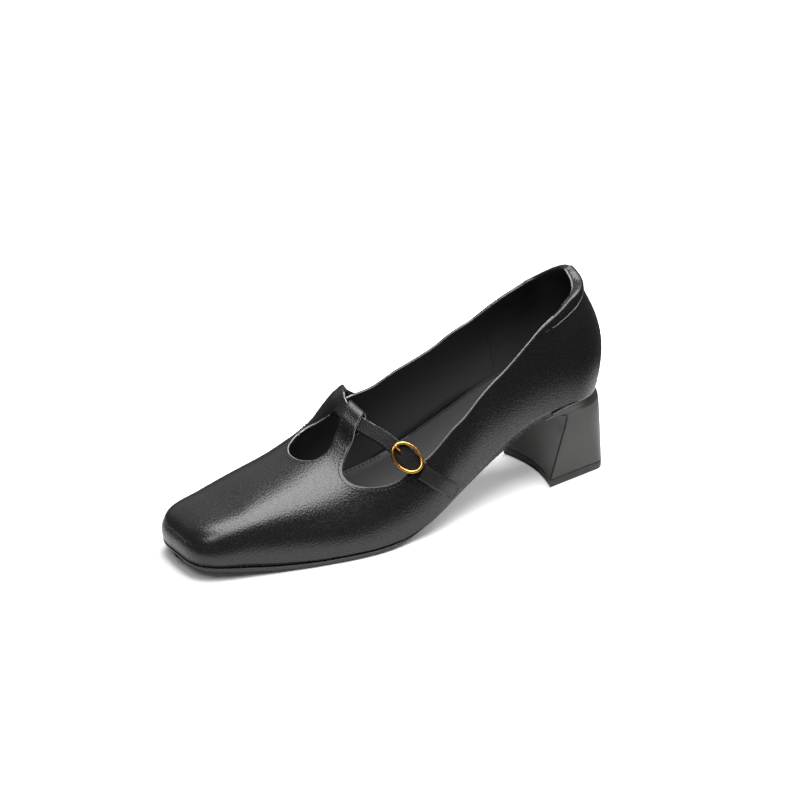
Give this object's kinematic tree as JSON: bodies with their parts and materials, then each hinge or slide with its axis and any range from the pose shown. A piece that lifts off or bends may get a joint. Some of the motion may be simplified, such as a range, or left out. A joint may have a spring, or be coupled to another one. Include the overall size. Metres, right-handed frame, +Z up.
{
  "type": "block heel shoe",
  "caption": "Left women's leather T-strap shoe with a square toe, a cross strap with a small oval buckle and a flared mid-height block heel; open hollow upper.",
  "frame": {"origin": "centre of the bounding box in plan, at the ground plane under the heel and the ball of the sole", "axes": "+X towards the toe, +Y towards the lateral (buckle) side, +Z up"},
  "size_m": [0.2466, 0.0795, 0.107],
  "materials": {
    "upper_leather": "black, fine grain, semi-gloss",
    "strap_leather": "black, smooth, semi-gloss, stitched edges",
    "heel_cover": "dark grey-green, satin",
    "top_piece_rubber": "black, matte",
    "outsole_rubber": "dark brown-black, satin",
    "insole_leather": "dark grey, matte",
    "buckle_metal": "polished warm gold"
  },
  "bodies": {
    "root": {"upper": "upper_leather", "instep_strap": "strap_leather", "buckle_strap": "strap_leather", "buckle_frame": "buckle_metal", "buckle_prong": "buckle_metal", "heel": "heel_cover", "heel_top_piece": "top_piece_rubber", "outsole": "outsole_rubber", "insole": "insole_leather"}
  },
  "joints": []
}
